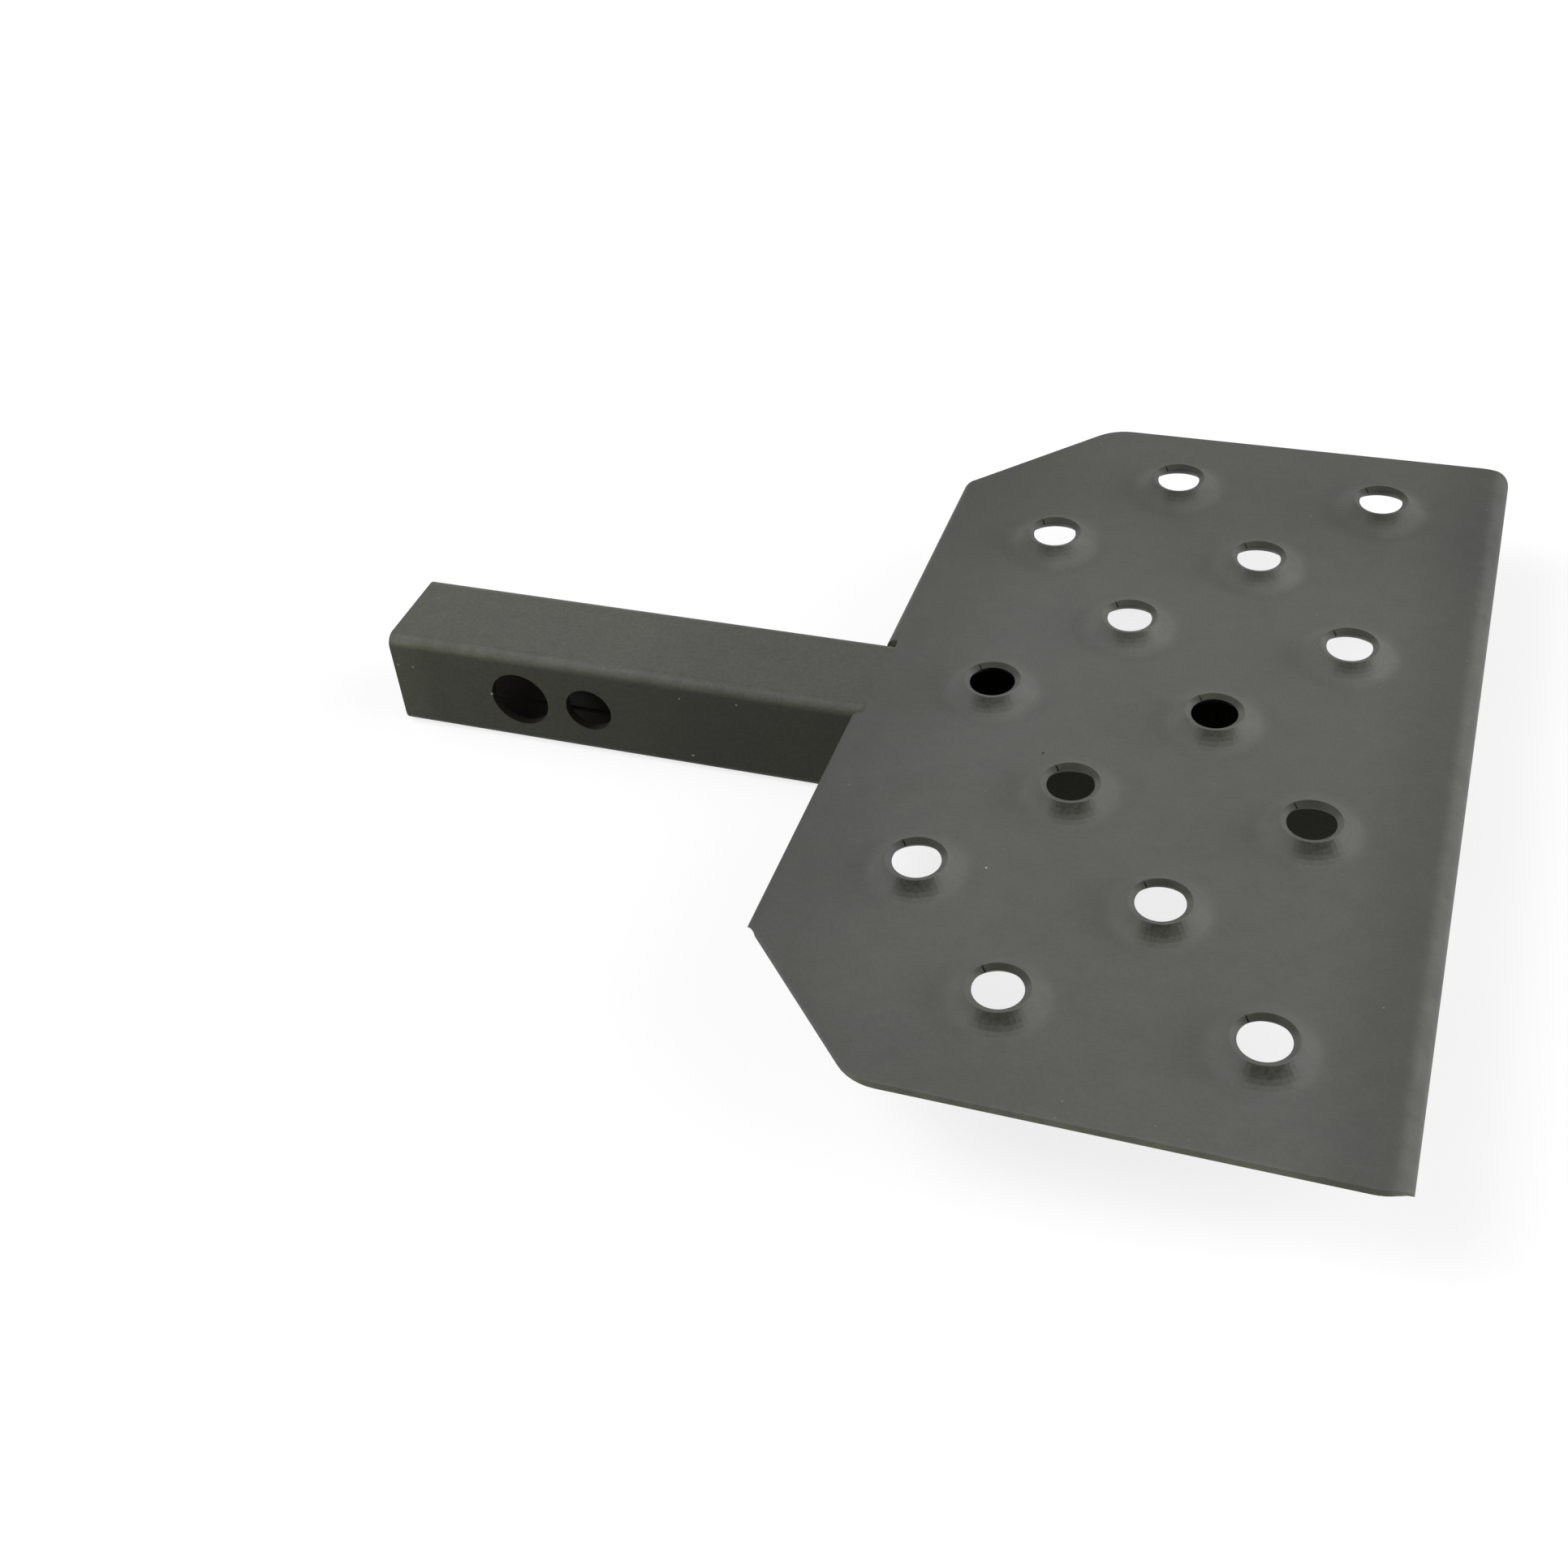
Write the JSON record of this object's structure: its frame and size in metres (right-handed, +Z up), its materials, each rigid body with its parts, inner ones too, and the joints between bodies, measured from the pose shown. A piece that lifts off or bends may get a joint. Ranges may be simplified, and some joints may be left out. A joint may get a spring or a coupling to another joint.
{
  "type": "hitch step plate",
  "caption": "Pressed and folded sheet-steel step plate with raised grip holes, welded on a square shank tube that pins into a tow hitch receiver.",
  "frame": {"origin": "centre of the large hitch pin hole, midway between the shank tube's two side walls", "axes": "+X along the shank towards the tread, +Y along the hitch pin, +Z up, square to the tread"},
  "size_m": [0.3057, 0.2828, 0.0364],
  "materials": {
    "plate_coat": "satin dark grey powder coat",
    "tube_coat": "satin dark grey powder coat",
    "weld_coat": "satin dark grey powder coat over a rippled weld"
  },
  "bodies": {
    "root": {"step_plate": "plate_coat", "shank_tube": "tube_coat", "stitch_welds_left": "weld_coat", "stitch_welds_right": "weld_coat", "lip_welds": "weld_coat"}
  },
  "joints": []
}
